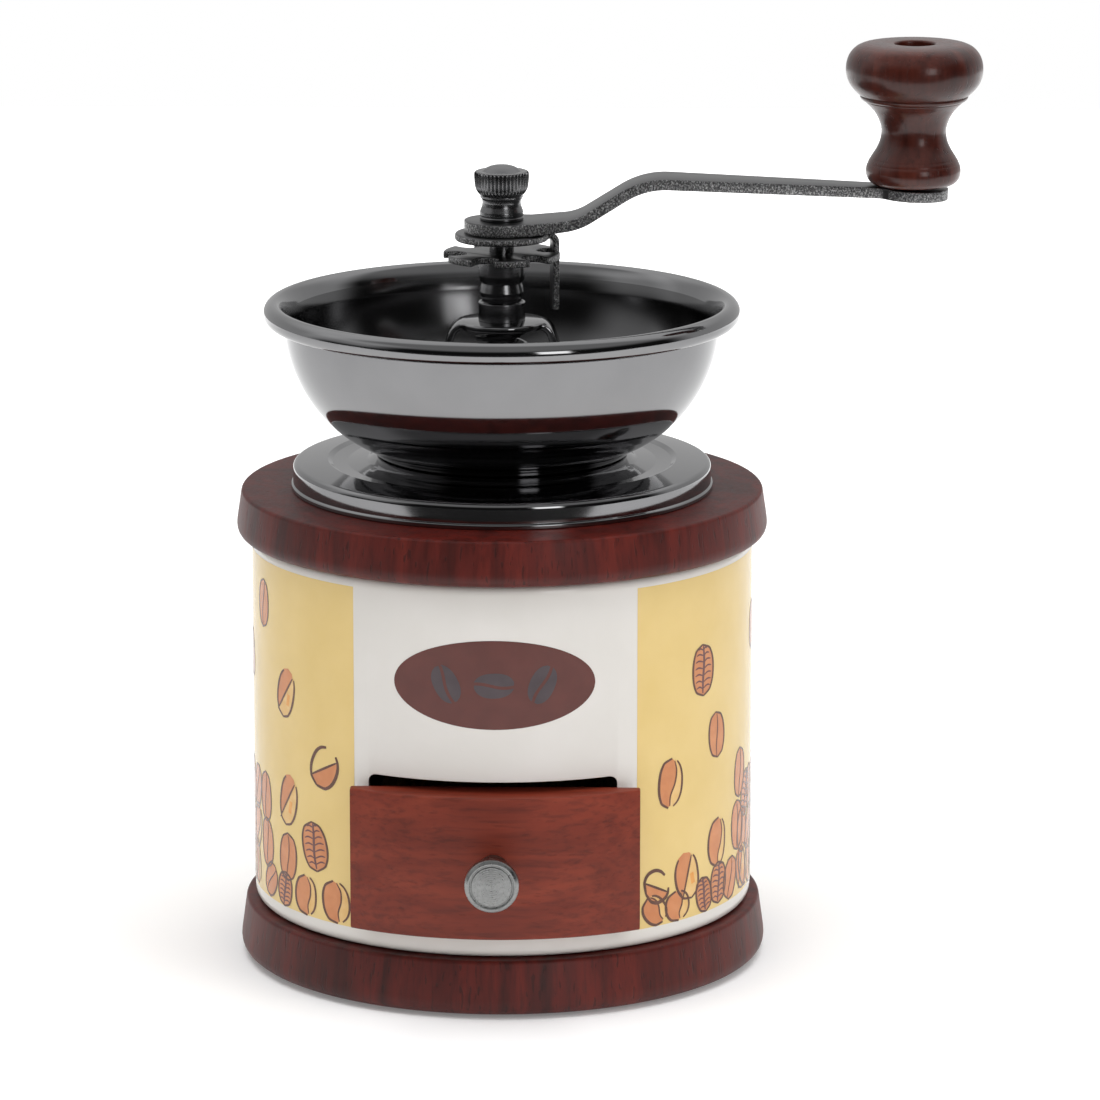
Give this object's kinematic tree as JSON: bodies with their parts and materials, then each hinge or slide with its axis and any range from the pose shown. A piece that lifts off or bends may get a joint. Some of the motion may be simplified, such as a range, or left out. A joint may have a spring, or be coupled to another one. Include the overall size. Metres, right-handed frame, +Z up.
{
  "type": "burr coffee grinder",
  "caption": "Hand-cranked burr coffee grinder: open bowl hopper, conical mill, porcelain body between wooden discs, grounds drawer.",
  "frame": {"origin": "on the crank axis, at the flat face the grinder stands on", "axes": "+Z up along the crank axis, -Y the way the drawer faces and opens, +X towards the crank knob at rest"},
  "size_m": [0.1519, 0.1232, 0.1888],
  "materials": {
    "stained_wood": "reddish brown stain under satin lacquer",
    "drawer_wood": "reddish brown stain under satin lacquer",
    "knob_wood": "dark brown stain under gloss lacquer",
    "plain_wood": "unfinished, sanded",
    "porcelain": "clear gloss glaze over a printed decal",
    "foam_pad": "matt foam sheet",
    "black_nickel": "polished black nickel plate",
    "crank_nickel": "satin black nickel plate",
    "zinc_steel": "bright zinc plate",
    "shaft_steel": "turned",
    "spring_steel": "drawn wire",
    "cast_burr": "as cast, machined teeth",
    "pull_zinc": "turned, with fine rings"
  },
  "bodies": {
    "housing": {"base_disc": "stained_wood", "base_pad": "foam_pad", "porcelain_body": "porcelain", "top_disc": "stained_wood", "tie_rods": "zinc_steel", "tie_washers": "zinc_steel", "tie_nuts": "zinc_steel", "runner_left": "plain_wood", "runner_right": "plain_wood", "flange_plate": "black_nickel", "hopper_bowl": "black_nickel", "bridge": "black_nickel", "bridge_screws": "black_nickel", "bridge_bush": "black_nickel", "outer_burr": "cast_burr", "mill_screws": "zinc_steel", "bearing_bracket": "zinc_steel", "bracket_screws": "zinc_steel"},
    "rotor": {"star_nut": "black_nickel", "spring": "spring_steel"},
    "spindle": {"shaft": "shaft_steel", "spring_washer": "zinc_steel", "inner_burr": "cast_burr", "burr_washer": "zinc_steel", "burr_nut": "zinc_steel", "index_plate": "black_nickel", "crank_arm": "crank_nickel", "knob_bolt": "zinc_steel"},
    "cap_nut": {"thumb_nut": "black_nickel"},
    "knob": {"crank_knob": "knob_wood"},
    "drawer": {"drawer_front": "drawer_wood", "drawer_side_left": "plain_wood", "drawer_side_right": "plain_wood", "drawer_back": "plain_wood", "drawer_bottom": "plain_wood", "drawer_pull": "pull_zinc", "pull_screw": "zinc_steel"}
  },
  "joints": [
    {"name": "crank_turn", "type": "hinge", "parent": "housing", "child": "rotor", "pos_m": [0, 0, 0.1], "axis": [0, 0, 1], "continuous": true},
    {"name": "grind_adjust", "type": "slide", "parent": "rotor", "child": "spindle", "axis": [0, 0, 1], "range_m": [-0.001, 0.0015], "deforming": ["spring"]},
    {"name": "cap_nut_turn", "type": "hinge", "parent": "spindle", "child": "cap_nut", "pos_m": [0, 0, 0.155], "axis": [0, 0, 1], "range_deg": [0, 1080]},
    {"name": "knob_spin", "type": "hinge", "parent": "spindle", "child": "knob", "pos_m": [0.0831, 0, 0.1588], "axis": [0, 0, 1], "continuous": true},
    {"name": "drawer_slide", "type": "slide", "parent": "housing", "child": "drawer", "axis": [0, -1, 0], "range_m": [0, 0.06]}
  ]
}
